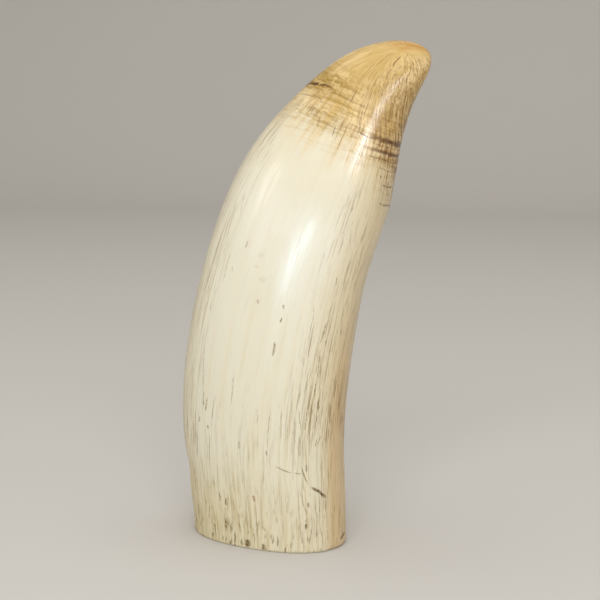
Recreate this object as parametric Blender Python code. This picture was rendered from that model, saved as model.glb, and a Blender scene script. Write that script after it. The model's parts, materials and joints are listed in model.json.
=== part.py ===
"""A sperm whale tooth, sawn flat at the root and polished, that stands on its root.

Metres, +Z up. The tooth bends towards +X, its broad faces look roughly along -Y and +Y,
and the origin lies under the middle of its box, on the surface that it stands on.

The tooth is one solid. It starts as a straight turned blank of unit radius and unit
height, with the pulp pit in its foot. Every point of the blank is then carried to its
place in an oval section of the real tooth. The sections sit square to a spine that leans
over more and more, they twist a little about it, and the root is sawn slightly out of
square, so that the tooth also leans back.
"""

import math

import bmesh
import bpy
import numpy as np
from mathutils import Vector

# Length along the spine, from the sawn root to the tip.
TOOTH_LENGTH = 0.191
# The sawn root: across the bend, and from face to face.
ROOT_WIDTH = 0.0585
ROOT_THICKNESS = 0.0355

# Stations up the spine, as shares of its length.
STATIONS = (0.0, 0.10, 0.25, 0.40, 0.55, 0.70, 0.82, 0.92, 1.0)
# Lean of the spine towards +X at each station, in degrees from upright.
LEAN_DEG = (0.0, -5.5, 2.0, 10.0, 17.0, 26.0, 33.0, 54.0, 74.0)
# Size of the section at each station, as shares of the root's width and thickness.
WIDTH_SHARES = (1.0, 1.01, 1.035, 1.025, 0.985, 0.905, 0.685, 0.495, 0.40)
THICKNESS_SHARES = (1.0, 1.085, 1.155, 1.17, 1.14, 1.055, 0.845, 0.635, 0.505)
# Turn of each section about the spine, in degrees; below 0 its +X end comes forward.
TWIST_DEG = (-18.0, -16.0, -12.0, -9.0, -8.0, -9.0, -12.0, -15.0, -18.0)
# Lean of the whole tooth towards +Y, from the saw cut.
BACK_LEAN = math.radians(3.0)

# 2 is a plain ellipse, more is squarer.
SECTION_POWER = 2.2
# Share of the length where the blunt tip starts to close, and how square it closes.
TIP_START_SHARE = 0.865
TIP_POWER = 2.0

# The closed-up end of the pulp cavity, open in the sawn foot.
PULP_PIT_LENGTH = 0.016
PULP_PIT_DEPTH = 0.009
# The polished round on the foot's edge.
FOOT_ROUND = 0.0012

# Shallow hollow across the outer curve of the root, under the old gum line.
GUM_HOLLOW_HEIGHT = 0.027
GUM_HOLLOW_DEPTH = 0.0007
GUM_HOLLOW_SPAN = 0.006
GUM_HOLLOW_ANGLE = math.radians(200.0)
GUM_HOLLOW_ARC = math.radians(45.0)

# Facets round the tooth and rings along each stretch of its profile.
SIDES = 72
SIDE_RINGS = 34
TIP_RINGS = 10
ROUND_RINGS = 3
PIT_RINGS = 3
SPINE_STEPS = 400

IVORY_COLOUR = (0.80, 0.70, 0.50, 1.0)
IVORY_ROUGHNESS = 0.32


def clear_scene():
    """Removes every object that is in the scene when the script starts."""
    for obj in list(bpy.data.objects):
        bpy.data.objects.remove(obj)


def natural_curve(stations, values):
    """Returns a function that runs smoothly through the values, a natural cubic spline."""
    knots = np.array(stations)
    heights = np.array(values)
    steps = np.diff(knots)
    slopes = np.diff(heights) / steps
    matrix = np.eye(len(knots))
    pull = np.zeros(len(knots))
    for i in range(1, len(knots) - 1):
        matrix[i, i - 1 : i + 2] = steps[i - 1], 2 * (steps[i - 1] + steps[i]), steps[i]
        pull[i] = 6 * (slopes[i] - slopes[i - 1])
    bends = np.linalg.solve(matrix, pull)

    def value(share):
        i = int(np.clip(np.searchsorted(knots, share) - 1, 0, len(steps) - 1))
        after = (share - knots[i]) / steps[i]
        before = 1 - after
        straight = before * heights[i] + after * heights[i + 1]
        curl = (before**3 - before) * bends[i] + (after**3 - after) * bends[i + 1]
        return straight + curl * steps[i] ** 2 / 6

    return value


class Spine:
    """The bent middle line of the tooth, in the XZ plane, and the sections square to it."""

    def __init__(self):
        self.lean = natural_curve(STATIONS, np.radians(LEAN_DEG))
        self.width = natural_curve(STATIONS, np.array(WIDTH_SHARES) * ROOT_WIDTH)
        self.thickness = natural_curve(STATIONS, np.array(THICKNESS_SHARES) * ROOT_THICKNESS)
        self.twist = natural_curve(STATIONS, np.radians(TWIST_DEG))
        self.shares = np.linspace(0, 1, SPINE_STEPS + 1)
        middles = (self.shares[1:] + self.shares[:-1]) / 2
        leans = np.array([self.lean(share) for share in middles])
        step = TOOTH_LENGTH / SPINE_STEPS
        self.across = np.concatenate([[0], np.cumsum(np.sin(leans)) * step])
        self.up = np.concatenate([[0], np.cumsum(np.cos(leans)) * step])

    def point(self, share):
        """X and Z of the spine at a share of its length."""
        return (
            float(np.interp(share, self.shares, self.across)),
            float(np.interp(share, self.shares, self.up)),
        )

    def place(self, radius, angle, share):
        """Carries a point of the unit blank to its place on the tooth."""
        round_to_oval = 2 / SECTION_POWER
        cosine, sine = math.cos(angle), math.sin(angle)
        oval_x = math.copysign(abs(cosine) ** round_to_oval, cosine)
        oval_y = math.copysign(abs(sine) ** round_to_oval, sine)
        half_width = self.width(share) / 2 - hollow_depth(angle, share)
        along = radius * half_width * oval_x
        aside = radius * self.thickness(share) / 2 * oval_y
        twist, lean = self.twist(share), self.lean(share)
        outward = along * math.cos(twist) - aside * math.sin(twist)
        backward = along * math.sin(twist) + aside * math.cos(twist)
        x, z = self.point(share)
        height = z - outward * math.sin(lean)
        return (
            x + outward * math.cos(lean),
            backward + height * math.tan(BACK_LEAN),
            height,
        )


def hollow_depth(angle, share):
    """Depth of the gum hollow, which fades out up, down and round the root."""
    away = math.remainder(angle - GUM_HOLLOW_ANGLE, math.tau) / GUM_HOLLOW_ARC
    rise = (share * TOOTH_LENGTH - GUM_HOLLOW_HEIGHT) / GUM_HOLLOW_SPAN
    return GUM_HOLLOW_DEPTH * math.exp(-(away**2) - rise**2)


def blank_profile():
    """Radius and height shares of the turned blank, from the pit's end round to the tip."""
    pit_radius = PULP_PIT_LENGTH / ROOT_WIDTH
    pit_depth = PULP_PIT_DEPTH / TOOTH_LENGTH
    round_in = FOOT_ROUND / (ROOT_WIDTH / 2)
    round_up = FOOT_ROUND / TOOTH_LENGTH
    profile = []
    for i in range(PIT_RINGS + 1):
        turn = math.pi / 2 * i / PIT_RINGS
        profile.append((pit_radius * math.sin(turn), pit_depth * math.cos(turn)))
    for i in range(ROUND_RINGS + 1):
        turn = math.pi / 2 * i / ROUND_RINGS
        radius = 1 - round_in * (1 - math.sin(turn))
        profile.append((radius, round_up * (1 - math.cos(turn))))
    for i in range(1, SIDE_RINGS + 1):
        profile.append((1.0, round_up + (TIP_START_SHARE - round_up) * i / SIDE_RINGS))
    for i in range(1, TIP_RINGS + 1):
        along = math.sin(math.pi / 2 * i / TIP_RINGS)
        radius = max(0.0, 1 - along**TIP_POWER) ** (1 / TIP_POWER)
        profile.append((radius, TIP_START_SHARE + (1 - TIP_START_SHARE) * along))
    return profile


def turn_blank(profile):
    """Spins the profile once round +Z and closes it at both ends."""
    mesh = bmesh.new()
    points = [mesh.verts.new((radius, 0, height)) for radius, height in profile]
    edges = [mesh.edges.new(pair) for pair in zip(points, points[1:])]
    bmesh.ops.spin(
        mesh,
        geom=points + edges,
        cent=(0, 0, 0),
        axis=(0, 0, 1),
        angle=math.tau,
        steps=SIDES,
        use_merge=True,
    )
    bmesh.ops.remove_doubles(mesh, verts=mesh.verts, dist=1e-6)
    bmesh.ops.recalc_face_normals(mesh, faces=mesh.faces)
    return mesh


def carve_tooth(mesh):
    """Bends the blank along the spine and stands it over the origin."""
    spine = Spine()
    for vert in mesh.verts:
        radius = math.hypot(vert.co.x, vert.co.y)
        angle = math.atan2(vert.co.y, vert.co.x)
        vert.co = spine.place(radius, angle, vert.co.z)
    xs = [vert.co.x for vert in mesh.verts]
    ys = [vert.co.y for vert in mesh.verts]
    middle = Vector(((min(xs) + max(xs)) / 2, (min(ys) + max(ys)) / 2, 0))
    bmesh.ops.translate(mesh, verts=mesh.verts, vec=-middle)


def ivory_material():
    """Plain cream ivory with a soft polish."""
    material = bpy.data.materials.new("ivory")
    material.use_nodes = True
    shader = material.node_tree.nodes["Principled BSDF"]
    shader.inputs["Base Color"].default_value = IVORY_COLOUR
    shader.inputs["Roughness"].default_value = IVORY_ROUGHNESS
    shader.inputs["Metallic"].default_value = 0.0
    material.diffuse_color = IVORY_COLOUR
    return material


def build_tooth(collection):
    """Makes the tooth, one closed solid, in the given collection."""
    mesh = turn_blank(blank_profile())
    carve_tooth(mesh)
    data = bpy.data.meshes.new("tooth")
    mesh.to_mesh(data)
    mesh.free()
    data.shade_smooth()
    data.set_sharp_from_angle(angle=math.radians(40))
    data.materials.append(ivory_material())
    tooth = bpy.data.objects.new("tooth", data)
    collection.objects.link(tooth)
    return tooth


def main():
    """Builds the whale tooth."""
    clear_scene()
    collection = bpy.data.collections.new("whale_tooth")
    bpy.context.scene.collection.children.link(collection)
    build_tooth(collection)


main()
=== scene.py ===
"""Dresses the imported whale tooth: its fine relief, its ivory finishes, studio light and camera.

The tooth is turned as a straight blank, cut with its fine relief and bent along its spine,
so that it lies where the solid that it stands for is. Each point keeps its place on the
straight blank in an attribute that the finishes read, so that the grain of the ivory runs
up the tooth and round it, however it bends.

Metres, +Z up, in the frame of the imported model. Places on the blank are angles in degrees
round the spine, where 0 is the inner curve, 180 the outer curve and -90 the broad face in
view, and rises in millimetres up the spine from the sawn root.
"""

from __future__ import annotations

import json
import logging
import math
from dataclasses import dataclass, field
from enum import Enum
from functools import reduce
from typing import Any, Sequence, Union

import bmesh
import bpy
import numpy as np
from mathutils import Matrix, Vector

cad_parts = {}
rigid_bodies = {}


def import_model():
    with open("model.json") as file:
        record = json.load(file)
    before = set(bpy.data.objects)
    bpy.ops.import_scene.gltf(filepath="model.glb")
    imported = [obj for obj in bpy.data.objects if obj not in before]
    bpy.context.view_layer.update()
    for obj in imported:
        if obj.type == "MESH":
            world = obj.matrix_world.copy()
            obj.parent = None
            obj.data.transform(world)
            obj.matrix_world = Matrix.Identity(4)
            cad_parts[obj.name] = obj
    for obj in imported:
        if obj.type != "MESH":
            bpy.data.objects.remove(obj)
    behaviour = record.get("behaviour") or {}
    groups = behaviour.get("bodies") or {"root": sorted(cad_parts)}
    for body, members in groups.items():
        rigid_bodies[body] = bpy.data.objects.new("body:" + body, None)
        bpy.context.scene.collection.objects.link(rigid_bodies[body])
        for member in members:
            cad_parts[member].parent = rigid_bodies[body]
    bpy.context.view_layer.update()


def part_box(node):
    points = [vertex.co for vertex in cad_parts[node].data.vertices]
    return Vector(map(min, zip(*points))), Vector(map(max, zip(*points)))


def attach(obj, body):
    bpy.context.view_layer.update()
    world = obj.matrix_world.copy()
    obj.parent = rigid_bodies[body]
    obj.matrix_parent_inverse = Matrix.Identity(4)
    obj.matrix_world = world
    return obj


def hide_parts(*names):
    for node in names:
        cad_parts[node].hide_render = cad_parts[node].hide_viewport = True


LOG = logging.getLogger("whale_tooth")

MM = 0.001
GRAIN = "grain"
FAN = "fan"
Number = Union[float, "Value"]
Colour = tuple[float, ...]


def paint(*channels: int) -> Colour:
    """Turns a paint colour, as it looks on a screen, into light.

    Args:
        *channels: Red, green and blue, 0 to 255.

    Returns:
        The linear colour that a shader takes, opaque.
    """
    shares = [channel / 255 for channel in channels]
    linear = [s / 12.92 if s <= 0.04045 else ((s + 0.055) / 1.055) ** 2.4 for s in shares]
    return (*linear, 1.0)


class NaturalCurve:
    """A natural cubic spline through values that are given at stations."""

    def __init__(self, stations: Sequence[float], values: Sequence[float]) -> None:
        """Solves the spline's bends.

        Args:
            stations: Shares of the tooth's length, rising.
            values: The value at each station.
        """
        self.knots = np.array(stations, float)
        self.heights = np.array(values, float)
        steps = np.diff(self.knots)
        slopes = np.diff(self.heights) / steps
        matrix = np.eye(len(self.knots))
        pull = np.zeros(len(self.knots))
        for i in range(1, len(self.knots) - 1):
            matrix[i, i - 1 : i + 2] = steps[i - 1], 2 * (steps[i - 1] + steps[i]), steps[i]
            pull[i] = 6 * (slopes[i] - slopes[i - 1])
        self.steps = steps
        self.bends = np.linalg.solve(matrix, pull)

    def at(self, shares: np.ndarray) -> np.ndarray:
        """Reads the curve.

        Args:
            shares: Shares of the tooth's length.

        Returns:
            The curve's value at each share.
        """
        i = np.clip(np.searchsorted(self.knots, shares) - 1, 0, len(self.steps) - 1)
        after = (shares - self.knots[i]) / self.steps[i]
        before = 1 - after
        straight = before * self.heights[i] + after * self.heights[i + 1]
        curl = (before**3 - before) * self.bends[i] + (after**3 - after) * self.bends[i + 1]
        return straight + curl * self.steps[i] ** 2 / 6


def gap(turn: np.ndarray, centre: float) -> np.ndarray:
    """Degrees from centre to each turn, the short way round, below 0 on one side."""
    return (turn - centre + 180) % 360 - 180


@dataclass(frozen=True)
class ToothForm:
    """The driving sizes of the solid, in metres, and its shape as shares of them."""

    length: float = 0.191
    root_width: float = 0.0585
    root_thickness: float = 0.0355
    stations: tuple[float, ...] = (0.0, 0.1, 0.25, 0.4, 0.55, 0.7, 0.82, 0.92, 1.0)
    lean_deg: tuple[float, ...] = (0.0, -5.5, 2.0, 10.0, 17.0, 26.0, 33.0, 54.0, 74.0)
    width_shares: tuple[float, ...] = (1.0, 1.01, 1.035, 1.025, 0.985, 0.905, 0.685, 0.495, 0.4)
    thickness_shares: tuple[float, ...] = (1.0, 1.085, 1.155, 1.17, 1.14, 1.055, 0.845, 0.635, 0.505)
    twist_deg: tuple[float, ...] = (-18.0, -16.0, -12.0, -9.0, -8.0, -9.0, -12.0, -15.0, -18.0)
    back_lean_deg: float = 3.0
    section_power: float = 2.2
    tip_start: float = 0.865
    tip_power: float = 2.0
    pit_length: float = 0.016
    pit_depth: float = 0.009
    foot_round: float = 0.0012

    @property
    def length_mm(self) -> float:
        """Length along the spine, in millimetres."""
        return self.length / MM


class Spine:
    """The bent middle line of the tooth and the oval sections square to it."""

    STEPS = 400

    def __init__(self, form: ToothForm) -> None:
        """Bends the spine.

        Args:
            form: The tooth's sizes.
        """
        self.form = form
        curve = form.stations
        self.lean = NaturalCurve(curve, np.radians(form.lean_deg))
        self.twist = NaturalCurve(curve, np.radians(form.twist_deg))
        self.width = NaturalCurve(curve, np.array(form.width_shares) * form.root_width)
        self.thickness = NaturalCurve(curve, np.array(form.thickness_shares) * form.root_thickness)
        self.shares = np.linspace(0, 1, self.STEPS + 1)
        leans = self.lean.at((self.shares[1:] + self.shares[:-1]) / 2)
        step = form.length / self.STEPS
        self.across = np.concatenate([[0], np.cumsum(np.sin(leans)) * step])
        self.up = np.concatenate([[0], np.cumsum(np.cos(leans)) * step])

    def place(self, radius: np.ndarray, angle: np.ndarray, share: np.ndarray,
              depth: np.ndarray) -> np.ndarray:
        """Carries points of the unit blank to their places on the tooth.

        Args:
            radius: Distance from the blank's axis, 1 at its flank.
            angle: Angle round the axis, in radians.
            share: Height on the blank, as a share of its length.
            depth: How deep each point is cut into the flank, in metres.

        Returns:
            The points, one row each.
        """
        form = self.form
        cosine, sine = np.cos(angle), np.sin(angle)
        power = 2 / form.section_power
        half_width = self.width.at(share) / 2
        half_thickness = self.thickness.at(share) / 2
        along = radius * half_width * np.sign(cosine) * np.abs(cosine) ** power
        aside = radius * half_thickness * np.sign(sine) * np.abs(sine) ** power
        facing = np.hypot(half_thickness * cosine, half_width * sine)
        along -= depth * half_thickness * cosine / facing
        aside -= depth * half_width * sine / facing
        lean, twist = self.lean.at(share), self.twist.at(share)
        outward = along * np.cos(twist) - aside * np.sin(twist)
        backward = along * np.sin(twist) + aside * np.cos(twist)
        height = np.interp(share, self.shares, self.up) - outward * np.sin(lean)
        x = np.interp(share, self.shares, self.across) + outward * np.cos(lean)
        y = backward + height * math.tan(math.radians(form.back_lean_deg))
        return np.stack([x, y, height], axis=1)


class Ink(Enum):
    """What fills a mark in the ivory."""

    DIRT = "dark dirt in an open cut"
    GRAIN = "dirt in open grain, much broken"
    STAIN = "old brown stain in the grain"
    RUST = "a warm rusty spot"


@dataclass(frozen=True)
class Stroke:
    """A straight mark on the flank that thins out to its ends.

    The ends are angles in degrees and rises in millimetres, width and cut are millimetres,
    and strength is the share of the ink that it takes.
    """

    ink: Ink
    turn: float
    rise: float
    turn_to: float
    rise_to: float
    width: float
    strength: float
    cut: float = 0.0

    # Millimetres round the flank to a degree, about the middle of the oval's range.
    MM_PER_DEG = 0.45

    def ramps(self, half: float) -> list[tuple[float, ...]]:
        """What angle, rise and 1 are multiplied by to give a place on the stroke.

        Args:
            half: The distance from its middle line that counts as 1, in millimetres.

        Returns:
            The factors for the place along it, -1 to 1, and for the place aside of it.
        """
        reach = (self.turn_to - self.turn) * self.MM_PER_DEG
        climb = self.rise_to - self.rise
        length = math.hypot(reach, climb)
        along = (reach / length**2 * 2, climb / length**2 * 2, -1.0)
        aside = (climb / length / half, -reach / length / half, 0.0)
        factors = []
        for round_it, up_it, start in (along, aside):
            turn_share = round_it * self.MM_PER_DEG
            factors.append((turn_share, up_it, start - turn_share * self.turn - up_it * self.rise))
        return factors


def strokes(ink: Ink, *rows: tuple[float, ...]) -> tuple[Stroke, ...]:
    """Makes the strokes of one ink.

    Args:
        ink: What fills them.
        *rows: The other fields of each stroke, in order.

    Returns:
        The strokes.
    """
    return tuple(Stroke(ink, *row) for row in rows)


# Knife and drop marks low on the inner side of the broad face, then pits by the sawn root.
CUTS = strokes(
    Ink.DIRT,
    (-68.5, 30.4, -52.5, 28.0, 0.7, 0.6, 0.02), (-51.5, 27.9, -45.0, 27.3, 0.7, 0.55, 0.02),
    (-46.0, 30.6, -40.3, 22.6, 0.8, 0.75, 0.05), (-41.5, 31.0, -41.0, 27.4, 0.9, 0.75, 0.04),
    (-38.5, 22.1, -21.3, 16.6, 1.6, 1.0, 0.22), (-36.8, 17.4, -30.5, 7.8, 0.5, 0.35, 0.02),
    (-30.8, 8.2, -26.7, 0.6, 0.6, 0.5, 0.04), (-41.3, 16.7, -41.3, 14.7, 1.1, 0.75, 0.08),
    (-43.4, 11.3, -43.4, 10.0, 0.9, 0.5, 0.04), (-43.4, 10.0, -43.4, 7.9, 1.2, 0.85, 0.1),
    (-42.0, 5.8, -42.0, 3.8, 0.9, 0.55, 0.05), (-88.8, 3.8, -88.8, 0.4, 1.7, 1.0, 0.15),
    (-77.5, 3.0, -77.5, 0.3, 1.3, 0.95, 0.12), (9.0, 3.5, -3.5, 2.2, 1.3, 1.0, 0.25),
    (-29.5, 158.0, -30.2, 146.0, 0.6, 0.8, 0.04), (-26.7, 145.0, -25.8, 143.6, 1.0, 0.9),
)

# Short dashes where the grain lies open, then its long thin lines.
OPEN_GRAIN = strokes(
    Ink.GRAIN,
    (-90.2, 39.8, -90.2, 36.3, 0.6, 0.5), (-72.7, 36.7, -72.7, 34.0, 0.6, 0.5),
    (-109.0, 106.0, -108.5, 103.6, 0.7, 0.6), (-76.0, 89.3, -75.2, 87.5, 0.7, 0.65),
    (-74.8, 84.9, -75.6, 82.6, 0.7, 0.65), (-76.2, 76.2, -75.2, 70.3, 0.7, 0.62),
    (-115.8, 52.2, -115.8, 47.4, 0.8, 0.8), (-122.0, 45.6, -122.0, 43.6, 0.8, 0.7),
    (-112.8, 43.6, -112.8, 42.0, 0.8, 0.8), (-125.0, 42.5, -126.0, 34.0, 0.5, 0.4),
    (-111.8, 41.5, -112.8, 27.5, 0.5, 0.45), (-135.5, 13.5, -134.2, 3.0, 0.7, 0.6),
    (-99.5, 20.5, -100.7, 13.0, 0.5, 0.4), (-135.0, 28.7, -135.5, 18.8, 0.6, 0.6),
    (-134.0, 14.9, -134.0, 9.4, 0.7, 0.7), (-118.0, 15.1, -120.0, 9.2, 0.6, 0.55),
    (-110.8, 25.7, -109.7, 22.7, 0.7, 0.6), (-105.8, 21.6, -106.0, 17.2, 0.8, 0.75),
    (-101.0, 19.0, -101.8, 15.6, 0.8, 0.65), (-97.8, 10.6, -98.8, 4.8, 0.6, 0.5),
    (-84.0, 6.4, -84.2, 2.3, 0.6, 0.6), (-67.0, 12.6, -67.2, 10.1, 0.6, 0.5),
    (-103.8, 11.3, -103.3, 5.0, 0.9, 0.8), (-71.5, 52.5, -71.5, 36.5, 0.45, 0.35),
    (-54.0, 51.5, -51.7, 36.5, 0.45, 0.35), (-126.0, 82.2, -124.8, 80.0, 0.6, 0.4),
    (-42.0, 86.0, -40.5, 79.5, 0.8, 0.5), (-41.5, 76.5, -39.5, 62.5, 0.6, 0.6),
    (-40.5, 104.0, -39.7, 100.0, 0.7, 0.5), (-145.5, 19.5, -139.2, 13.5, 0.5, 0.35),
    (-132.5, 116.1, -129.5, 103.3, 0.45, 0.35), (-128.2, 120.0, -123.7, 112.2, 0.45, 0.35),
    (-126.2, 52.5, -129.0, 34.6, 0.5, 0.4), (-124.8, 70.2, -120.2, 52.5, 0.45, 0.4),
    (-124.0, 39.9, -128.0, 30.5, 0.5, 0.45), (-120.5, 102.8, -119.7, 89.5, 0.45, 0.3),
    (-119.7, 54.2, -118.0, 48.4, 0.5, 0.6), (-115.5, 44.7, -114.5, 30.3, 0.45, 0.45),
    (-114.2, 17.2, -112.5, 8.5, 0.5, 0.4), (-109.0, 53.9, -110.0, 44.3, 0.45, 0.4),
    (-105.8, 32.8, -107.2, 9.9, 0.4, 0.35), (-102.5, 16.1, -105.0, 6.7, 0.5, 0.45),
    (-96.0, 63.8, -96.0, 50.0, 0.4, 0.3), (-96.2, 19.0, -95.8, 13.8, 0.5, 0.4),
    (-92.2, 10.8, -92.0, 5.7, 0.6, 0.45), (-80.8, 52.3, -78.2, 43.1, 0.4, 0.3),
    (-80.5, 11.2, -82.0, 5.3, 0.5, 0.4), (-75.5, 29.4, -75.2, 23.6, 0.45, 0.35),
    (-65.5, 53.9, -60.7, 38.3, 0.4, 0.35), (-58.5, 46.8, -58.0, 39.7, 0.4, 0.3),
    (-58.2, 18.4, -59.0, 12.9, 0.5, 0.4), (-57.7, 57.8, -55.2, 46.4, 0.4, 0.35),
    (-53.7, 93.6, -52.3, 76.9, 0.45, 0.35), (-50.8, 53.7, -46.7, 43.6, 0.45, 0.45),
    (-50.0, 81.9, -50.0, 72.1, 0.45, 0.45), (-49.2, 22.3, -42.0, 11.0, 0.5, 0.4),
    (-48.7, 11.2, -49.2, 4.6, 0.5, 0.4), (-44.2, 58.7, -43.6, 40.4, 0.5, 0.5),
    (-41.0, 83.0, -42.0, 77.5, 0.5, 0.45), (-40.0, 73.7, -36.2, 62.2, 0.5, 0.55),
    (-40.2, 65.4, -39.0, 55.8, 0.6, 0.75), (-40.2, 49.1, -38.5, 30.5, 0.45, 0.45),
    (-36.8, 86.5, -37.2, 75.7, 0.5, 0.45), (-35.2, 55.8, -34.0, 50.5, 0.6, 0.65),
    (-34.0, 50.5, -36.0, 46.1, 0.5, 0.5), (-33.0, 40.8, -34.0, 36.7, 0.5, 0.55),
    (-28.0, 41.8, -33.0, 37.4, 0.5, 0.45), (-26.7, 95.2, -23.0, 77.8, 0.5, 0.45),
    (-24.0, 120.5, -19.5, 105.8, 0.45, 0.4), (-23.0, 40.4, -23.0, 35.3, 0.5, 0.4),
    (-20.0, 50.7, -20.0, 45.2, 0.5, 0.4), (-13.0, 47.0, -17.0, 38.8, 0.5, 0.4),
    (-11.0, 15.4, -13.5, 9.2, 0.6, 0.45),
)

# Age cracks and open grain that fan out from the crest of the tip, and stray stains below it.
CRACKS = strokes(
    Ink.STAIN,
    (-99.2, 182.5, -86.0, 178.4, 0.8, 0.95, 0.05), (-86.5, 178.6, -76.8, 174.5, 0.7, 0.75),
    (-73.5, 174.2, -62.5, 169.0, 0.55, 0.55, 0.03), (-61.8, 182.4, -47.2, 179.3, 0.6, 0.7),
    (-110.2, 180.8, -104.5, 177.8, 0.6, 0.6), (-103.8, 178.0, -98.8, 174.5, 0.5, 0.55),
    (-104.8, 174.9, -99.2, 171.0, 0.5, 0.45), (-100.7, 184.5, -88.5, 183.0, 0.5, 0.5),
    (-150.0, 174.5, -138.0, 170.2, 0.5, 0.4), (-87.5, 173.7, -80.5, 169.5, 0.5, 0.5),
    (-77.0, 171.9, -69.2, 169.0, 0.5, 0.5), (-67.0, 177.4, -55.5, 174.3, 0.6, 0.5),
    (-38.5, 174.1, -27.0, 167.9, 0.5, 0.5), (-90.8, 166.3, -88.0, 159.9, 0.7, 0.65, 0.03),
    (-78.8, 169.0, -66.8, 159.0, 0.6, 0.6), (-73.5, 161.1, -67.5, 155.8, 0.6, 0.6),
    (-79.8, 156.0, -77.5, 145.5, 0.6, 0.6), (-84.2, 156.3, -82.2, 147.3, 0.5, 0.4),
    (-87.8, 152.6, -85.2, 148.7, 0.6, 0.6), (-102.8, 152.6, -99.2, 148.2, 0.6, 0.5),
    (-114.7, 154.2, -112.5, 151.4, 0.5, 0.5), (-117.5, 154.0, -115.0, 151.4, 0.6, 0.6),
    (-120.2, 153.7, -118.5, 151.4, 0.5, 0.5), (-135.5, 154.0, -134.2, 149.8, 0.6, 0.6),
    (-67.8, 154.9, -53.0, 154.8, 0.8, 0.85, 0.03), (-56.0, 154.9, -40.0, 156.8, 0.7, 0.75, 0.03),
    (-1.0, 167.0, 4.0, 163.0, 1.0, 0.7), (1.5, 149.8, 1.2, 145.8, 0.9, 0.6),
    (-43.3, 125.7, -36.2, 113.1, 0.45, 0.26), (-16.5, 71.6, -14.5, 57.4, 0.5, 0.45),
    (-14.0, 81.2, -18.0, 68.2, 0.5, 0.45), (-13.5, 62.6, -10.0, 49.1, 0.5, 0.4),
    (-23.0, 16.6, -23.8, 12.4, 0.8, 0.5, 0.03), (-39.7, 128.5, -32.8, 115.0, 0.5, 0.28),
)

# Rusty spots, and faint smudges on the middle of the broad face.
SPOTS = strokes(
    Ink.RUST,
    (-82.5, 20.6, -82.3, 17.6, 0.9, 0.85, 0.08), (-72.0, 6.5, -72.0, 4.5, 1.2, 0.6, 0.05),
    (-91.0, 88.9, -90.8, 87.1, 0.7, 0.45), (-115.5, 96.6, -114.7, 94.4, 0.6, 0.35),
    (-98.5, 103.4, -94.5, 102.9, 2.4, 0.13), (-99.0, 99.3, -95.5, 98.7, 1.7, 0.12),
    (-93.5, 95.8, -89.0, 95.5, 2.4, 0.14),
)

STROKES = CUTS + OPEN_GRAIN + CRACKS + SPOTS


@dataclass(frozen=True)
class Ring:
    """A growth ring round the tip that has worn open and taken the stain.

    Its stain is given at the inner curve, in the middle of the faces and at the outer
    curve, and near says how close to the inner curve, from 0 to 1, its stain and its cut
    begin. A ring stands higher on the inner curve than on the outer one, by twice TILT.
    """

    rise: float
    width: float
    inner: float
    middle: float
    outer: float
    cut: float
    near: float = 0.5

    TILT = 4.0


RINGS = (
    Ring(161.7, 1.3, 0.2, 0.25, 1.0, 0.06),
    Ring(157.6, 0.7, 0.3, 0.1, 0.4, 0.03),
    Ring(153.4, 3.0, 1.0, 0.1, 0.1, 0.18),
    Ring(151.2, 0.8, 0.35, 0.15, 0.1, 0.05),
    Ring(148.9, 1.7, 0.95, 0.05, 0.1, 0.16),
    Ring(146.2, 0.7, 0.6, 0.05, 0.1, 0.06),
    Ring(142.9, 0.7, 0.4, 0.05, 0.0, 0.04, 0.75),
    Ring(137.6, 0.8, 0.7, 0.0, 0.0, 0.15, 0.9),
    Ring(131.3, 0.8, 0.6, 0.0, 0.0, 0.15, 0.9),
)


@dataclass(frozen=True)
class Swell:
    """A soft rise or hollow on the flank: its place, its spread and its depth."""

    turn: float
    rise: float
    turn_spread: float
    rise_spread: float
    depth: float

    def cut(self, turn: np.ndarray, rise: np.ndarray) -> np.ndarray:
        """Depth in millimetres at each place, fading out all round.

        Args:
            turn: Angles in degrees.
            rise: Rises in millimetres.

        Returns:
            The depth, below 0 where the flank stands proud.
        """
        away = gap(turn, self.turn) / self.turn_spread
        above = (rise - self.rise) / self.rise_spread
        return self.depth * np.exp(-(away**2) - above**2)


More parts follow.
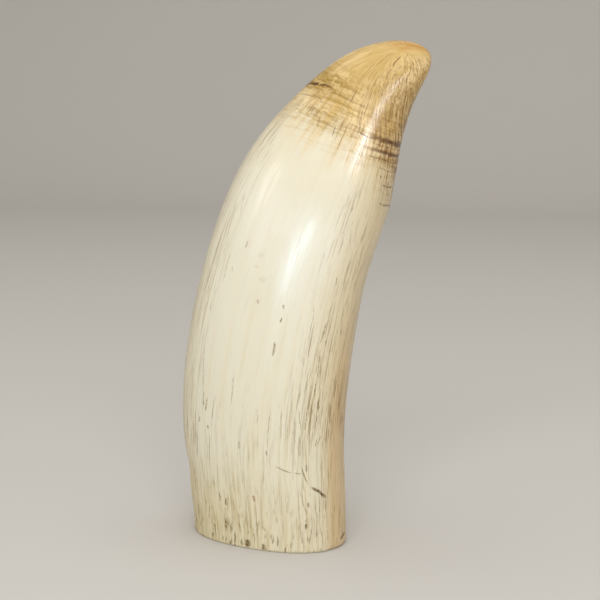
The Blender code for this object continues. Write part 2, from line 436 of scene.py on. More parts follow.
@dataclass(frozen=True)
class Relief:
    """Everything that is cut into the flank or stands proud of it, in millimetres."""

    swells: tuple[Swell, ...] = (
        # The hollow under the gum line, as on the solid.
        Swell(200.0, 27.0, 45.0, 6.0, 0.7),
        # The ledge where the worn tip ends on the inner curve.
        Swell(14.0, 135.5, 24.0, 4.5, -0.45),
        # A nick on the inner side of the tip.
        Swell(9.0, 181.2, 9.0, 0.7, 0.3),
        # Chips in the foot's rim.
        Swell(-16.0, 0.0, 4.5, 0.9, 0.55),
        Swell(-9.0, 0.0, 2.6, 0.6, 0.45),
    )
    # Long low waves that hand polishing leaves: turns round the flank, length up it, height.
    waves: tuple[tuple[int, float, float], ...] = (
        (2, 97.0, 0.06), (3, 61.0, 0.04), (5, 43.0, 0.015))
    wave_fade: float = 6.0
    # The narrowest groove that the mesh can hold, and how steep a groove's sides are.
    narrowest: float = 0.9
    steepness: float = 1.5

    def depth(self, turn: np.ndarray, rise: np.ndarray) -> np.ndarray:
        """Adds up all the relief.

        Args:
            turn: Angles in degrees.
            rise: Rises in millimetres.

        Returns:
            How deep the flank is cut, in metres.
        """
        total = np.zeros_like(turn)
        for swell in self.swells:
            total += swell.cut(turn, rise)
        fade = np.clip(rise / self.wave_fade, 0, 1)
        for count, length, height in self.waves:
            swing = np.radians(turn) * count + math.tau * rise / length + count
            total += height * fade * (1 + np.sin(swing))
        for stroke in STROKES:
            if stroke.cut > 0:
                total += self.groove(stroke, turn, rise)
        inner = np.cos(np.radians(turn))
        level = rise - inner * Ring.TILT
        for ring in RINGS:
            inside = np.clip((inner - ring.near) / (1 - ring.near), 0, 1)
            off = (level - ring.rise) / max(ring.width, self.narrowest) * 2
            total += ring.cut * inside * np.clip(1 - off**2, 0, 1)
        return total * MM

    def groove(self, stroke: Stroke, turn: np.ndarray, rise: np.ndarray) -> np.ndarray:
        """Cuts one stroke.

        Args:
            stroke: The mark.
            turn: Angles in degrees.
            rise: Rises in millimetres.

        Returns:
            The depth in millimetres.
        """
        half = max(stroke.width, self.narrowest) / 2
        along, aside = (round_it * turn + up_it * rise + rest
                        for round_it, up_it, rest in stroke.ramps(half))
        lens = np.clip(1 - along**2, 0, 1) - aside**2
        return stroke.cut * np.clip(lens * self.steepness, 0, 1)


class Value:
    """One number or vector in a shader tree, on which arithmetic adds Math nodes."""

    def __init__(self, tree: "ShaderTree", socket: bpy.types.NodeSocket | None) -> None:
        """Wraps a node's output.

        Args:
            tree: The tree that the node is in.
            socket: The node's output, if it has one.
        """
        self.tree = tree
        self.socket = socket

    def _math(self, operation: str, first: Number, second: Number) -> "Value":
        """Adds a Math node."""
        return self.tree.node("ShaderNodeMath", {"operation": operation}, {0: first, 1: second})

    def __add__(self, other: Number) -> "Value":
        """Adds."""
        return self._math("ADD", self, other)

    def __radd__(self, other: Number) -> "Value":
        """Adds to a number."""
        return self._math("ADD", other, self)

    def __sub__(self, other: Number) -> "Value":
        """Takes away."""
        return self._math("SUBTRACT", self, other)

    def __rsub__(self, other: Number) -> "Value":
        """Takes away from a number."""
        return self._math("SUBTRACT", other, self)

    def __mul__(self, other: Number) -> "Value":
        """Multiplies."""
        return self._math("MULTIPLY", self, other)

    def __rmul__(self, other: Number) -> "Value":
        """Multiplies a number."""
        return self._math("MULTIPLY", other, self)

    def __truediv__(self, other: Number) -> "Value":
        """Divides."""
        return self._math("DIVIDE", self, other)

    def larger(self, other: Number) -> "Value":
        """The larger of the two."""
        return self._math("MAXIMUM", self, other)

    def smaller(self, other: Number) -> "Value":
        """The smaller of the two."""
        return self._math("MINIMUM", self, other)

    def clamped(self) -> "Value":
        """Holds the value between 0 and 1."""
        settings = {"operation": "ADD", "use_clamp": True}
        return self.tree.node("ShaderNodeMath", settings, {0: self, 1: 0.0})

    def between(self, low: float, high: float) -> "Value":
        """Rises smoothly from 0 at low to 1 at high, or falls where low is the larger.

        Args:
            low: Where the result is 0.
            high: Where the result is 1.

        Returns:
            The share, 0 to 1.
        """
        settings = {"interpolation_type": "SMOOTHSTEP"}
        return self.tree.node("ShaderNodeMapRange", settings, {0: self, 1: low, 2: high})


class ShaderTree:
    """A material's node tree, with one method that adds any node."""

    def __init__(self, name: str) -> None:
        """Starts a material with an empty tree.

        Args:
            name: The material's name.
        """
        self.material = bpy.data.materials.new(name)
        self.material.use_nodes = True
        self.nodes = self.material.node_tree.nodes
        self.links = self.material.node_tree.links
        self.nodes.clear()

    def node(self, kind: str, settings: dict[str, Any] | None = None,
             inputs: dict[Any, Any] | None = None, output: int | str = 0) -> Value:
        """Adds a node.

        Args:
            kind: The node's type.
            settings: Its own settings, which are set first.
            inputs: Values or links for its sockets, by place or name.
            output: The output to return.

        Returns:
            That output, or an empty value where the node has none.
        """
        made = self.nodes.new(kind)
        for key, setting in (settings or {}).items():
            setattr(made, key, setting)
        for key, given in (inputs or {}).items():
            if isinstance(given, Value):
                self.links.new(given.socket, made.inputs[key])
            else:
                made.inputs[key].default_value = given
        return Value(self, made.outputs[output] if len(made.outputs) else None)

    def attribute(self, name: str) -> Value:
        """One of the tooth's own vectors."""
        return self.node("ShaderNodeAttribute", {"attribute_name": name}, output="Vector")

    def split(self, vector: Value) -> tuple[Value, Value, Value]:
        """Takes a vector apart.

        Args:
            vector: The vector.

        Returns:
            Its three parts.
        """
        first = self.node("ShaderNodeSeparateXYZ", inputs={0: vector})
        outputs = first.socket.node.outputs
        return first, Value(self, outputs[1]), Value(self, outputs[2])

    def scaled(self, vector: Value, round_it: float, up_it: float) -> Value:
        """Scales a place on the blank, one way round it and another way up it."""
        factors = (round_it, round_it, up_it)
        return self.node("ShaderNodeVectorMath", {"operation": "MULTIPLY"}, {0: vector, 1: factors})

    def noise(self, place: Value, detail: float = 2.0, roughness: float = 0.5,
              scale: float = 1.0) -> Value:
        """Smooth noise.

        Args:
            place: Where to read it.
            detail: How many finer layers it has.
            roughness: How strong those are.
            scale: Its scale.

        Returns:
            The noise, about 0.5 in the middle.
        """
        inputs = {"Vector": place, "Scale": scale, "Detail": detail, "Roughness": roughness}
        return self.node("ShaderNodeTexNoise", inputs=inputs)

    def patches(self, place: Value, round_it: float, up_it: float, detail: float = 2.0,
                roughness: float = 0.5) -> Value:
        """Noise in patches, with their number to a millimetre given round the tooth and up it."""
        return self.noise(self.scaled(place, round_it, up_it), detail, roughness)

    def streaks(self, grain: Value, fineness: float, length: float, detail: float = 2.0,
                roughness: float = 0.55) -> Value:
        """Noise drawn out along the grain: streaks to a millimetre, and their length in millimetres."""
        return self.patches(grain, fineness, 1 / length, detail, roughness)

    def mix(self, share: Number, first: Any, second: Any) -> Value:
        """Mixes two colours.

        Args:
            share: How much of the second.
            first: A colour.
            second: Another colour.

        Returns:
            The mixed colour.
        """
        return self.node("ShaderNodeMix", {"data_type": "RGBA"}, {0: share, 6: first, 7: second}, 2)

    def bump(self, height: Value, distance: float) -> Value:
        """Turns a height into a normal.

        Args:
            height: The height, in units of the distance.
            distance: That unit, in metres.

        Returns:
            The bumped normal.
        """
        return self.node("ShaderNodeBump", inputs={"Height": height, "Distance": distance})

    def finish(self, **sockets: Any) -> bpy.types.Material:
        """Adds the surface shader and the output.

        Args:
            **sockets: The shader's sockets, with _ for each space in a name.

        Returns:
            The material.
        """
        inputs = {name.replace("_", " "): given for name, given in sockets.items()}
        surface = self.node("ShaderNodeBsdfPrincipled", inputs=inputs)
        self.node("ShaderNodeOutputMaterial", inputs={"Surface": surface})
        return self.material


class Flank(ShaderTree):
    """The polished flank's tree: where a point is, and the noises that several layers read."""

    def __init__(self, name: str, grain_radius: float, ground: Colour) -> None:
        """Reads the place on the blank.

        Args:
            name: The material's name.
            grain_radius: How far the grain's places lie from their axis.
            ground: The colour under all the layers.
        """
        super().__init__(name)
        self.colour: Any = ground
        self.grain, self.fan = self.attribute(GRAIN), self.attribute(FAN)
        x, y, self.rise = self.split(self.grain)
        turn = self.node("ShaderNodeMath", {"operation": "ARCTAN2"}, {0: y, 1: x})
        self.turn = turn * math.degrees(1)
        # 1 at the inner curve and -1 at the outer one, 1 at the back and -1 at the face in view.
        self.inner, self.back = x / grain_radius, y / grain_radius
        self.level = self.rise - self.inner * Ring.TILT
        tilted = self.node("ShaderNodeCombineXYZ", inputs={0: x, 1: y, 2: self.level})
        self.fine = self.streaks(self.fan, 1.7, 16.0, 4.0, 0.62)
        self.thin = self.streaks(self.fan, 3.0, 7.0, 2.0, 0.5)
        self.broad = self.streaks(self.fan, 0.42, 60.0, 3.0, 0.55)
        self.ragged = self.streaks(self.fan, 0.6, 26.0, 3.0, 0.6)
        self.weave = self.patches(tilted, 0.07, 0.9, 4.0, 0.65)
        self.cloud = self.patches(self.grain, 0.1, 0.1, 3.0)
        # Millimetres above the tan's ragged edge, which drops a little towards the inner curve.
        edge = 147.3 - self.inner - self.back * 0.8
        self.above = self.rise - edge + (self.ragged - 0.5) * 26.0 + (self.weave - 0.5) * 9.0
        self.crowd = self.find_crowd()

    def lay(self, share: Value, tone: Any) -> None:
        """Lays a tone over the colour so far, as far as the share goes."""
        self.colour = self.mix(share, self.colour, tone)

    def find_crowd(self) -> Value:
        """How thick the grain lines lie: most at the inner curve, then the outer one.

        Returns:
            The share, 0 to 1.
        """
        bare = self.rise.between(44.0, 26.0) * 0.42
        inner = self.inner.between(0.38, 0.74) * (0.42 + self.rise.between(74.0, 48.0) * 0.58 - bare)
        outer = self.inner.between(-0.4, -0.85) * (0.48 + self.rise.between(80.0, 45.0) * 0.32)
        low = self.rise.between(75.0, 25.0) * 0.22 + self.rise.between(40.0, 8.0) * 0.25
        return inner.larger(outer).larger(low)


@dataclass(frozen=True)
class PolishedIvory:
    """The polished flank: cream ivory, grain lines, foot stain and the brown-banded tip."""

    grain_radius: float
    cream: Colour = paint(238, 234, 214)
    pale: Colour = paint(243, 239, 222)
    butter: Colour = paint(230, 219, 186)
    low_cream: Colour = paint(228, 223, 201)
    # Tans of the flank's edges: partly a real tan and partly painted shade where the flank turns away
    # from the light.
    edge_tan_and_shade: Colour = paint(218, 196, 146)
    rim_tan_and_shade: Colour = paint(206, 160, 88)
    foot_tan: Colour = paint(214, 198, 146)
    foot_ochre: Colour = paint(178, 156, 86)
    line_beige: Colour = paint(204, 186, 142)
    line_brown: Colour = paint(136, 106, 40)
    speck: Colour = paint(108, 80, 20)
    dirt: Colour = paint(100, 72, 14)
    stain: Colour = paint(108, 66, 4)
    rust: Colour = paint(160, 118, 66)
    hair: Colour = paint(126, 96, 26)
    tip_light: Colour = paint(234, 210, 160)
    tip_gold: Colour = paint(243, 215, 158)
    tip_tan: Colour = paint(220, 188, 122)
    # Dull tan of the tip's inner facet, partly real and partly painted shade on the side turned from the
    # light.
    tip_dull_and_shade: Colour = paint(196, 168, 106)
    tip_olive: Colour = paint(164, 130, 48)
    tip_brown: Colour = paint(134, 88, 20)
    ring_brown: Colour = paint(88, 42, 0)
    cap_orange: Colour = paint(190, 130, 48)
    # Share of its width that a stroke's ink fills.
    stroke_fullness: float = 0.95
    # How much the ivory bends light, and how light goes through its skin.
    refraction: float = 1.48
    glow: float = 0.1
    glow_tint: Colour = (1.0, 0.7, 0.4)
    glow_depth: float = 0.0015

    def make(self) -> bpy.types.Material:
        """Builds the finish.

        Returns:
            The material.
        """
        at = Flank("polished_ivory", self.grain_radius, self.cream)
        layers = (self.body, self.lines, self.foot, self.tip, self.bands, self.tip_grain,
                  self.rings, self.marks)
        for layer in layers:
            layer(at)
        tip = at.rise.between(140.0, 165.0)
        scuffs = at.patches(at.grain, 0.1, 2.2, 3.0, 0.6)
        open_lines = at.fine.between(0.52, 0.72)
        height = open_lines * (-0.03 - at.crowd * 0.07) - at.thin * 0.012 - scuffs * (tip * 0.09 + 0.004)
        return at.finish(
            Base_Color=at.colour,
            Roughness=0.17 + open_lines * at.crowd * 0.2 + tip * 0.05,
            Normal=at.bump(height, MM),
            IOR=self.refraction,
            Subsurface_Weight=self.glow,
            Subsurface_Radius=self.glow_tint,
            Subsurface_Scale=self.glow_depth,
        )

    def body(self, at: Flank) -> None:
        """The cream of the body, yellower towards the root, with its edges darkened: partly a real tan
        and partly painted shade where the flank turns away from the light.

        Args:
            at: The flank.
        """
        at.lay(at.patches(at.grain, 0.06, 0.03, 3.0).between(0.35, 0.65), self.pale)
        at.lay(at.rise.between(128.0, 40.0) * 0.9, self.low_cream)
        streak = at.broad.between(0.45, 0.66) * (0.18 + at.rise.between(110.0, 40.0) * 0.27)
        at.lay(streak.larger(at.rise.between(112.0, 140.0) * 0.42), self.butter)
        # Painted shade mixed with a real tan along both edges, where the flank turns away from the
        # light.
        inside = at.inner.between(0.45, 0.95) * (0.16 + at.rise.between(25.0, 70.0) * 0.36)
        outside = at.inner.between(-0.55, -1.0) * (0.3 + at.rise.between(46.0, 20.0) * 0.7)
        at.lay(inside.larger(outside), self.edge_tan_and_shade)
        # A narrower band of tan and painted shade along the inner curve.
        rim = at.inner.between(0.86, 1.0) * (0.16 + at.rise.between(105.0, 45.0) * 0.38)
        at.lay(rim, self.rim_tan_and_shade)

    def lines(self, at: Flank) -> None:
        """Draws the grain: beige streaks, thin brown lines and short dark specks in them.

        Args:
            at: The flank.
        """
        middle = at.streaks(at.grain, 0.85, 34.0, 3.0, 0.6).between(0.5, 0.66)
        at.lay(middle * (0.05 + at.crowd * 0.32), self.line_beige)
        clump = at.patches(at.grain, 0.16, 0.035).between(0.38, 0.6)
        thick = at.crowd * (0.35 + clump * 0.65)
        at.lay(at.fine.between(0.53, 0.63) * (0.01 + thick * 0.86), self.line_brown)
        at.lay(at.thin.between(0.55, 0.68) * (0.02 + thick * 0.58), self.line_brown)
        dashes = at.streaks(at.grain, 1.3, 4.0, 2.0, 0.5).between(0.57, 0.7)
        open_grain = at.fine.between(0.49, 0.58) * dashes
        at.lay(open_grain * (0.02 + thick * 0.85), self.speck)

    def foot(self, at: Flank) -> None:
        """Stains the foot with ochre streaks, darkest at the rim.

        Args:
            at: The flank.
        """
        near = at.rise.between(40.0, 6.0) * (0.76 - at.inner * 0.56)
        at.lay(near * 0.45, self.foot_tan)
        streak = at.streaks(at.grain, 1.4, 14.0, 3.0, 0.6).between(0.48, 0.66)
        at.lay(streak * near * 0.5, self.foot_ochre)
        spots = at.streaks(at.grain, 1.0, 5.0, 2.0, 0.5).between(0.57, 0.7)
        rim = at.rise.between(14.0, 0.0)
        at.lay(spots * (rim * 0.6 + near * 0.3), self.speck)

    def tip(self, at: Flank) -> None:
        """Lays the tan of the tip, with its ragged lower edge.

        Args:
            at: The flank.
        """
        at.lay(at.above.between(-11.0, 7.0) * 0.75, self.tip_light)
        gold = at.mix(at.cloud.between(0.38, 0.62), self.tip_gold, self.tip_tan)
        crest = at.rise.between(172.0, 183.0) * at.inner.between(0.5, -0.3) * 0.6
        at.lay(at.above.between(-2.0, 15.0), at.mix(crest, gold, self.tip_tan))

    def bands(self, at: Flank) -> None:
        """Lays the stained bands: broad ones on the outer curve, dense ones on the inner.

        Args:
            at: The flank.
        """
        outer = at.level.between(157.5, 162.0) * at.level.between(173.0, 163.5)
        outer = outer * at.inner.between(0.45, -0.6)
        faint = at.rise.between(142.0, 152.0) * at.rise.between(172.0, 160.0) * 0.5
        wide = at.level.between(141.0, 150.0) * at.rise.between(187.0, 172.0)
        strip = (at.level + (at.weave - 0.5) * 14.0).between(129.0, 143.0)
        strip = strip * at.level.between(150.0, 144.0)
        strip = strip * (at.inner + (at.ragged - 0.5) * 0.5).between(0.8, 1.02)
        inner = (wide * at.inner.between(0.4, 0.92)).larger(strip)
        flecks = at.weave * 0.18 + at.streaks(at.fan, 0.9, 5.0, 3.0, 0.6) * 0.82
        mottle = at.weave * 0.6 + at.patches(at.grain, 0.7, 1.5, 3.0, 0.65) * 0.4
        at.lay((mottle.between(0.43, 0.58) * 0.6 + 0.35) * outer, self.tip_olive)
        at.lay(mottle.between(0.47, 0.62) * faint, self.tip_olive)
        at.lay((flecks.between(0.47, 0.57) * 0.8 + 0.08) * inner, self.tip_brown)

    def tip_grain(self, at: Flank) -> None:
        """Draws the tip's dark grain, the pores of its worn end, a dull tan on its inner facet that is
        partly painted shade, and its orange cap.

        Args:
            at: The flank.
        """
        sharp = at.streaks(at.fan, 1.2, 11.0, 4.0, 0.7)
        dark = (sharp.between(0.54, 0.61) * 0.56).larger(at.fine.between(0.55, 0.63) * 0.42)
        reach = at.above.between(-4.0, 6.0) * (1.0 - at.rise.between(176.0, 185.0) * 0.55)
        sides = 0.6 + at.inner.between(0.0, 0.6) * 0.4
        at.lay(dark * reach * sides, self.tip_brown)
        worn = at.rise.between(158.0, 170.0) * at.inner.between(-0.3, 0.5)
        # Dull tan high on the tip towards the inner curve: partly the worn end and partly painted shade
        # on the facet turned from the light.
        at.lay(worn * at.rise.between(186.0, 178.0) * 0.3, self.tip_dull_and_shade)
        pores = at.streaks(at.fan, 1.4, 3.0, 2.0).between(0.53, 0.62)
        at.lay(pores * worn * 0.6, self.tip_brown)
        metres = at.node("ShaderNodeTexCoord", output="Object")
        holes = at.patches(metres, 1500.0, 750.0).between(0.53, 0.63)
        at.lay(holes * worn * at.rise.between(164.0, 174.0) * 0.5, self.tip_brown)
        veil = at.thin.between(0.48, 0.6) * at.rise.between(163.0, 173.0) * at.inner.between(0.8, 0.0)
        at.lay(veil * 0.4, self.tip_olive)
        cap = at.rise.between(176.5, 184.0) * at.inner.between(-0.15, -0.62)
        at.lay(cap * (0.25 + at.cloud.between(0.35, 0.65) * 0.5), self.cap_orange)

    def rings(self, at: Flank) -> None:
        """Draws the worn growth rings of the tip.

        Args:
            at: The flank.
        """
        level = at.level + (at.patches(at.grain, 0.07, 0.02, 1.0, 0.4) - 0.5) * 4.0
        broken = at.patches(at.grain, 0.3, 0.35, 3.0, 0.6).between(0.36, 0.56)
        uneven = at.patches(at.grain, 0.45, 0.25)
        outside = at.inner.between(0.0, -0.8)
        place = at.inner + (uneven - 0.5) * 0.3
        clamp = {"operation": "SUBTRACT", "use_clamp": True}
        for ring in RINGS:
            inside = place.between(ring.near, ring.near + 0.7 * (1 - ring.near))
            share = ring.middle + inside * (ring.inner - ring.middle)
            share = share + outside * (ring.outer - ring.middle)
            off = (level - ring.rise) * (2 / ring.width) * (1.9 - uneven * 1.8)
            line = at.node("ShaderNodeMath", clamp, {0: 1.0, 1: off * off})
            whole = 0.15 + broken.larger(inside * 0.85) * 0.8
            at.lay(line * share * whole, self.ring_brown)

    def marks(self, at: Flank) -> None:
        """Draws the single marks, ink by ink, a little bent and broken by the grain.

        Args:
            at: The flank.
        """
        bend = at.patches(at.grain, 0.2, 0.09, 4.0, 0.55) - 0.5
        bent = {0: at.turn + bend * 5.0, 1: at.rise + bend * 1.5, 2: 1.0}
        place = at.node("ShaderNodeCombineXYZ", inputs=bent)
        worn = 0.4 + at.streaks(at.grain, 1.8, 1.6, 2.0).between(0.38, 0.58) * 0.6
        tones = {Ink.DIRT: self.dirt, Ink.GRAIN: self.hair, Ink.STAIN: self.stain, Ink.RUST: self.rust}
        for ink, tone in tones.items():
            # Each mark joins the rest as soon as it is made, which keeps the shader small.
            shares = (self.mark_share(at, stroke, place) for stroke in STROKES if stroke.ink is ink)
            drawn = reduce(Value.larger, shares).larger(0.0)
            share = drawn * worn * 1.35 if ink is Ink.GRAIN else drawn * (0.55 + worn * 0.45)
            at.lay(share, tone)

    def mark_share(self, at: Flank, stroke: Stroke, place: Value) -> Value:
        """How much of its ink a stroke leaves at each place.

        Args:
            at: The flank.
            stroke: The mark.
            place: Angle in degrees, rise in millimetres, and 1.

        Returns:
            The share, below 0 off the stroke.
        """
        dot = {"operation": "DOT_PRODUCT"}
        along, aside = (at.node("ShaderNodeVectorMath", dot, {0: place, 1: ramp}, "Value")
                        for ramp in stroke.ramps(stroke.width * self.stroke_fullness / 2))
        return ((1.3 - along * along * 1.3).smaller(1.0) - aside * aside) * stroke.strength


@dataclass(frozen=True)
class SawnIvory:
    """The sawn foot: matt, paler, with faint growth rings and saw lines."""

    grain_radius: float
    pale: Colour = paint(232, 220, 188)
    ring: Colour = paint(206, 182, 134)

    def make(self) -> bpy.types.Material:
        """Builds the finish.

        Returns:
            The material.
        """
        tree = ShaderTree("sawn_ivory")
        grain = tree.attribute(GRAIN)
        x, y, _ = tree.split(grain)
        out = tree.node("ShaderNodeVectorMath", {"operation": "LENGTH"}, {0: grain}, "Value")
        wobble = tree.noise(tree.scaled(grain, 0.2, 0.0), 2.0)
        rings = tree.node("ShaderNodeMath", {"operation": "SINE"}, {0: out * 2.6 + wobble * 6.0})
        across = tree.node("ShaderNodeCombineXYZ", inputs={0: x * 0.08 + y * 0.02, 1: y * 1.6})
        saw = tree.noise(across, 3.0)
        share = rings * 0.22 + wobble * 0.6 + 0.05
        return tree.finish(
            Base_Color=tree.mix(share.clamped(), self.pale, self.ring),
            Roughness=0.55 + saw * 0.1,
            Normal=tree.bump(saw * 0.12, MM),
            IOR=1.54,
        )


@dataclass(frozen=True)
class PulpWall:
    """The wall of the small pulp pit: brown, dry and dull."""

    light: Colour = paint(176, 146, 96)
    dark: Colour = paint(96, 70, 42)

    def make(self) -> bpy.types.Material:
        """Builds the finish.

        Returns:
            The material.
        """
        tree = ShaderTree("pulp_wall")
        grain = tree.attribute(GRAIN)
        crust = tree.noise(grain, 4.0, 0.6, 1.3)
        return tree.finish(
            Base_Color=tree.mix(crust.between(0.35, 0.65), self.light, self.dark),
            Roughness=0.85,
            Normal=tree.bump(crust * 0.3, MM),
        )


class Zone(Enum):
    """A stretch of the tooth's skin that has its own finish, in slot order."""

    FLANK = 0
    SAWN = 1
    PULP = 2


@dataclass
class Tooth:
    """The whale tooth, one piece, with its fine relief."""

    form: ToothForm = field(default_factory=ToothForm)
    relief: Relief = field(default_factory=Relief)
    sides: int = 384
    # Stretches of the flank: where each ends, in millimetres, and the ring spacing there.
    stretches: tuple[tuple[float, float], ...] = ((34.0, 0.72), (130.0, 1.3), (165.2, 0.55))
    tip_rings: int = 34
    round_rings: int = 5
    face_rings: int = 8
    pit_rings: int = 8
    grain_radius: float = 24.0
    # Where the grain's lines meet near the tip, in shares of the blank's radius, and the
    # stretch of the length over which they draw together.
    crest: tuple[float, float] = (-0.284, -0.703)
    crest_start: float = 0.82
    crest_end: float = 0.95

    def profile(self) -> list[tuple[float, float]]:
        """Radius and height shares of the blank, from the pit's end round to the tip.

        Returns:
            The profile's points.
        """
        form = self.form
        pit_radius = form.pit_length / form.root_width
        pit_depth = form.pit_depth / form.length
        round_in = form.foot_round / (form.root_width / 2)
        round_up = form.foot_round / form.length
        points = []
        for i in range(self.pit_rings + 1):
            turn = math.pi / 2 * i / self.pit_rings
            points.append((pit_radius * math.sin(turn), pit_depth * math.cos(turn)))
        for i in range(1, self.face_rings):
            share = i / self.face_rings
            points.append((pit_radius + (1 - round_in - pit_radius) * share, 0.0))
        for i in range(self.round_rings + 1):
            turn = math.pi / 2 * i / self.round_rings
            points.append((1 - round_in * (1 - math.sin(turn)), round_up * (1 - math.cos(turn))))
        start = form.foot_round / MM
        for end, spacing in self.stretches:
            end = min(end, form.tip_start * form.length_mm)
            count = round((end - start) / spacing)
            points += [(1.0, (start + (end - start) * i / count) / form.length_mm)
                       for i in range(1, count + 1)]
            start = end
        for i in range(1, self.tip_rings + 1):
            along = math.sin(math.pi / 2 * i / self.tip_rings)
            radius = max(0.0, 1 - along**form.tip_power) ** (1 / form.tip_power)
            points.append((radius, form.tip_start + (1 - form.tip_start) * along))
        return points

    def turn_blank(self) -> bpy.types.Mesh:
        """Rolls a flat grid up round +Z, so that its rows follow the profile.

        Returns:
            The straight blank, of unit radius and height, closed at both ends.
        """
        profile = np.array(self.profile())
        form = bmesh.new()
        bmesh.ops.create_grid(form, x_segments=self.sides, y_segments=len(profile) - 1, size=0.5)
        mesh = bpy.data.meshes.new("ivory_tooth")
        form.to_mesh(mesh)
        flat = self.points(mesh)
        turns = (flat[:, 0] + 0.5) * math.tau
        rows = np.rint((flat[:, 1] + 0.5) * (len(profile) - 1)).astype(int)
        radius, height = profile[rows].T
        self.move(mesh, np.stack([radius * np.cos(turns), radius * np.sin(turns), height], axis=1))
        form.clear()
        form.from_mesh(mesh)
        bmesh.ops.remove_doubles(form, verts=form.verts, dist=1e-6)
        bmesh.ops.recalc_face_normals(form, faces=form.faces)
        for face in form.faces:
            face.material_index = self.zone(face.calc_center_median()).value
        form.to_mesh(mesh)
        form.free()
        return mesh

    def points(self, mesh: bpy.types.Mesh) -> np.ndarray:
        """Reads the mesh's points.

        Args:
            mesh: The mesh.

        Returns:
            The points, one row each.
        """
        flat = np.empty(len(mesh.vertices) * 3, np.float32)
        mesh.vertices.foreach_get("co", flat)
        return flat.reshape(-1, 3).astype(float)

    def move(self, mesh: bpy.types.Mesh, places: np.ndarray) -> None:
        """Moves the mesh's points to the places given, one row each."""
        mesh.vertices.foreach_set("co", places.astype(np.float32).ravel())

    def zone(self, middle: Vector) -> Zone:
        """Which finish a face of the blank takes.

        Args:
            middle: The face's middle on the blank.

        Returns:
            Its zone.
        """
        radius = math.hypot(middle.x, middle.y)
        inside = self.form.pit_length / self.form.root_width
        rim = 1 - self.form.foot_round / (self.form.root_width / 2)
        if radius < inside and middle.z < 2 * self.form.pit_depth / self.form.length:
            return Zone.PULP
        if radius < rim and middle.z < 0.5 * self.form.foot_round / self.form.length:
            return Zone.SAWN
        return Zone.FLANK

    def carve(self, mesh: bpy.types.Mesh) -> None:
        """Keeps each point's place on the blank, cuts the relief and bends the tooth.

        Args:
            mesh: The straight blank, which is changed.
        """
        points = self.points(mesh)
        radius = np.hypot(points[:, 0], points[:, 1])
        angle = np.arctan2(points[:, 1], points[:, 0])
        share = points[:, 2]
        rise = share * self.form.length_mm
        underneath = (radius < 0.999) & (share < 0.5)
        reach = self.grain_radius * np.where(underneath, radius, 1.0)
        self.note(mesh, GRAIN, reach, angle, rise)
        drawn = np.clip((share - self.crest_start) / (self.crest_end - self.crest_start), 0, 1)
        fan = np.arctan2(points[:, 1] - drawn * self.crest[1], points[:, 0] - drawn * self.crest[0])
        self.note(mesh, FAN, reach, fan, rise)
        depth = self.relief.depth(np.degrees(angle), rise) * self.flank_share(radius, share)
        placed = Spine(self.form).place(radius, angle, share, depth)
        smooth = Spine(self.form).place(radius, angle, share, np.zeros(len(points)))
        middle = (smooth.min(axis=0) + smooth.max(axis=0)) / 2
        placed[:, :2] -= middle[:2]
        self.move(mesh, placed)

    def note(self, mesh: bpy.types.Mesh, name: str, reach: np.ndarray, angle: np.ndarray,
             rise: np.ndarray) -> None:
        """Keeps a place round an upright axis with each point of the mesh.

        Args:
            mesh: The mesh.
            name: The attribute's name.
            reach: Distances from the axis.
            angle: Angles round it, in radians.
            rise: Heights.
        """
        place = np.stack([reach * np.cos(angle), reach * np.sin(angle), rise], axis=1)
        attribute = mesh.attributes.new(name, "FLOAT_VECTOR", "POINT")
        attribute.data.foreach_set("vector", place.astype(np.float32).ravel())

    def flank_share(self, radius: np.ndarray, share: np.ndarray) -> np.ndarray:
        """How much of the relief a point takes: none inside the foot or at the tip's end."""
        foot = np.clip((radius - 0.9) / 0.09, 0, 1)
        return np.where(share < 0.5, foot, np.clip(radius * 3, 0, 1))

    def build(self) -> bpy.types.Object:
        """Makes the tooth and dresses it.

        Returns:
            The finished piece.
        """
        mesh = self.turn_blank()
        self.carve(mesh)
        mesh.shade_smooth()
        mesh.set_sharp_from_angle(angle=math.radians(50))
        finishes = (PolishedIvory(self.grain_radius), SawnIvory(self.grain_radius), PulpWall())
        for finish in finishes:
            mesh.materials.append(finish.make())
        piece = bpy.data.objects.new("ivory_tooth", mesh)
        bpy.context.scene.collection.objects.link(piece)
        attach(piece, "root")
        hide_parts("tooth")
        LOG.info("%s: %d faces", piece.name, len(mesh.polygons))
        return piece


@dataclass(frozen=True)
class Softbox:
    """A soft light: where it hangs round the tooth, its size, its power and its tint."""

    name: str
    place: tuple[float, float, float]
    size: tuple[float, float]
    watts: float
    tint: tuple[float, float, float] = (1.0, 1.0, 1.0)
    lights: bool = True
    mirrored: bool = True

    def build(self, aim: Vector) -> bpy.types.Object:
        """Hangs the light and turns it towards the tooth.

        Args:
            aim: The point that it faces.

        Returns:
            The light.
        """
        data = bpy.data.lights.new(self.name, "AREA")
        data.shape = "ELLIPSE"
        data.size, data.size_y = self.size
        data.energy = self.watts
        data.color = self.tint
        light = bpy.data.objects.new(self.name, data)
        bpy.context.scene.collection.objects.link(light)
        light.location = self.place
        light.rotation_mode = "QUATERNION"
        light.rotation_quaternion = (aim - Vector(self.place)).to_track_quat("-Z", "Y")
        light.visible_diffuse = self.lights
        light.visible_glossy = self.mirrored
        return light


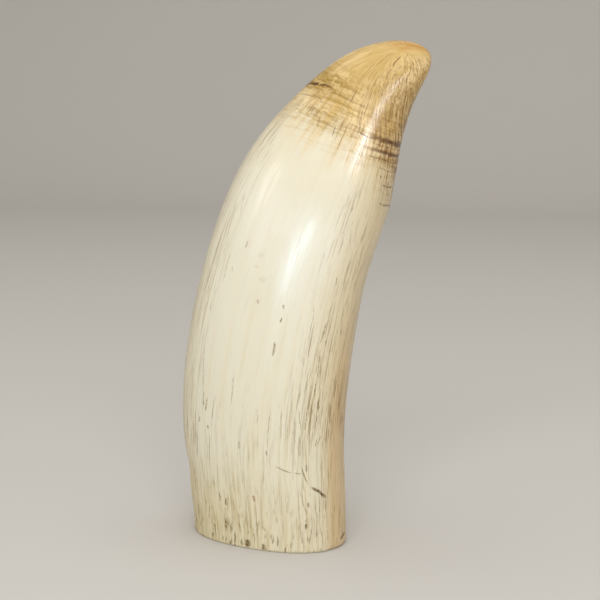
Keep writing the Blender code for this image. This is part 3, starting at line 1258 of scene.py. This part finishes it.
@dataclass
class Studio:
    """The camera at the photograph's viewing angle, the pale floor and the soft light."""

    azimuth_deg: float = 10.0
    elevation_deg: float = 9.5
    distance: float = 0.51
    lens: float = 87.0
    aim_offset: tuple[float, float, float] = (-0.0001, -0.0042, -0.0017)
    floor_reach: float = 1.1
    wall_radius: float = 0.35
    wall_height: float = 1.4
    wall_steps: int = 16
    floor_colour: Colour = paint(208, 205, 200)
    sky_tint: Colour = (1.0, 0.95, 0.88, 1.0)
    sky_strength: float = 0.45
    softboxes: tuple[Softbox, ...] = (
        Softbox("front_window", (-0.115, -0.95, 0.125), (0.34, 0.02), 0.86, (0.46, 0.76, 1.0),
                lights=False),
        Softbox("right_window", (0.47, -0.8, 0.33), (0.26, 0.14), 5.0, (0.92, 0.93, 1.0),
                lights=False),
        Softbox("left_window", (-0.75, -0.58, 0.5), (0.3, 0.3), 0.75, (1.0, 0.96, 0.94),
                lights=False),
        Softbox("front_wash", (0.1, -0.95, 0.6), (1.0, 0.8), 6.6, mirrored=False),
        Softbox("top_wash", (0.0, 0.1, 1.3), (1.3, 1.3), 6.0, mirrored=False),
    )

    def build(self) -> None:
        """Sets up the camera, the floor and the lights."""
        low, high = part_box("tooth")
        middle = (low + high) / 2
        self.build_camera(middle + Vector(self.aim_offset))
        self.build_floor()
        for softbox in self.softboxes:
            softbox.build(middle)
        world = bpy.data.worlds.new("studio")
        world.use_nodes = True
        sky = world.node_tree.nodes["Background"]
        sky.inputs["Color"].default_value = self.sky_tint
        sky.inputs["Strength"].default_value = self.sky_strength
        bpy.context.scene.world = world
        bpy.context.scene.view_settings.view_transform = "Standard"

    def build_camera(self, aim: Vector) -> None:
        """Puts the camera where the photograph was taken from.

        Args:
            aim: The point in the middle of the picture.
        """
        azimuth, elevation = math.radians(self.azimuth_deg), math.radians(self.elevation_deg)
        back = Vector((math.sin(azimuth) * math.cos(elevation),
                       -math.cos(azimuth) * math.cos(elevation), math.sin(elevation)))
        data = bpy.data.cameras.new("camera")
        data.lens = self.lens
        data.clip_start = 0.01
        camera = bpy.data.objects.new("camera", data)
        bpy.context.scene.collection.objects.link(camera)
        camera.location = aim + back * self.distance
        camera.rotation_mode = "QUATERNION"
        camera.rotation_quaternion = (-back).to_track_quat("-Z", "Y")
        bpy.context.scene.camera = camera

    def build_floor(self) -> None:
        """Lays a pale floor that sweeps up into a wall behind the tooth."""
        form = bmesh.new()
        reach, radius = self.floor_reach, self.wall_radius
        ends = [form.verts.new((side * 2 * reach, -2 * reach, 0)) for side in (-1, 1)]
        edge = [form.edges.new(ends)]
        edge = self.push(form, edge, Vector((0, 3 * reach, 0)))
        bend = bmesh.ops.spin(form, geom=edge, cent=(0, reach, radius), axis=(1, 0, 0),
                              angle=math.pi / 2, steps=self.wall_steps, use_duplicate=False)
        edge = [item for item in bend["geom_last"] if isinstance(item, bmesh.types.BMEdge)]
        self.push(form, edge, Vector((0, 0, self.wall_height)))
        bmesh.ops.remove_doubles(form, verts=form.verts, dist=1e-5)
        bmesh.ops.recalc_face_normals(form, faces=form.faces)
        mesh = bpy.data.meshes.new("floor")
        form.to_mesh(mesh)
        form.free()
        mesh.shade_smooth()
        tree = ShaderTree("pale_floor")
        mesh.materials.append(tree.finish(Base_Color=self.floor_colour, Roughness=0.8))
        floor = bpy.data.objects.new("floor", mesh)
        bpy.context.scene.collection.objects.link(floor)

    def push(self, form: bmesh.types.BMesh, edges: list, step: Vector) -> list:
        """Extrudes edges by a step.

        Args:
            form: The mesh.
            edges: The edges to extrude.
            step: How far.

        Returns:
            The new edges.
        """
        made = bmesh.ops.extrude_edge_only(form, edges=edges)["geom"]
        verts = [item for item in made if isinstance(item, bmesh.types.BMVert)]
        bmesh.ops.translate(form, verts=verts, vec=step)
        return [item for item in made if isinstance(item, bmesh.types.BMEdge)]


def main() -> None:
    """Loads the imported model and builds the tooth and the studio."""
    logging.basicConfig(level=logging.INFO)
    for left in list(bpy.data.objects):
        bpy.data.objects.remove(left)
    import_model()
    Tooth().build()
    Studio().build()


if __name__ == "__main__":
    main()
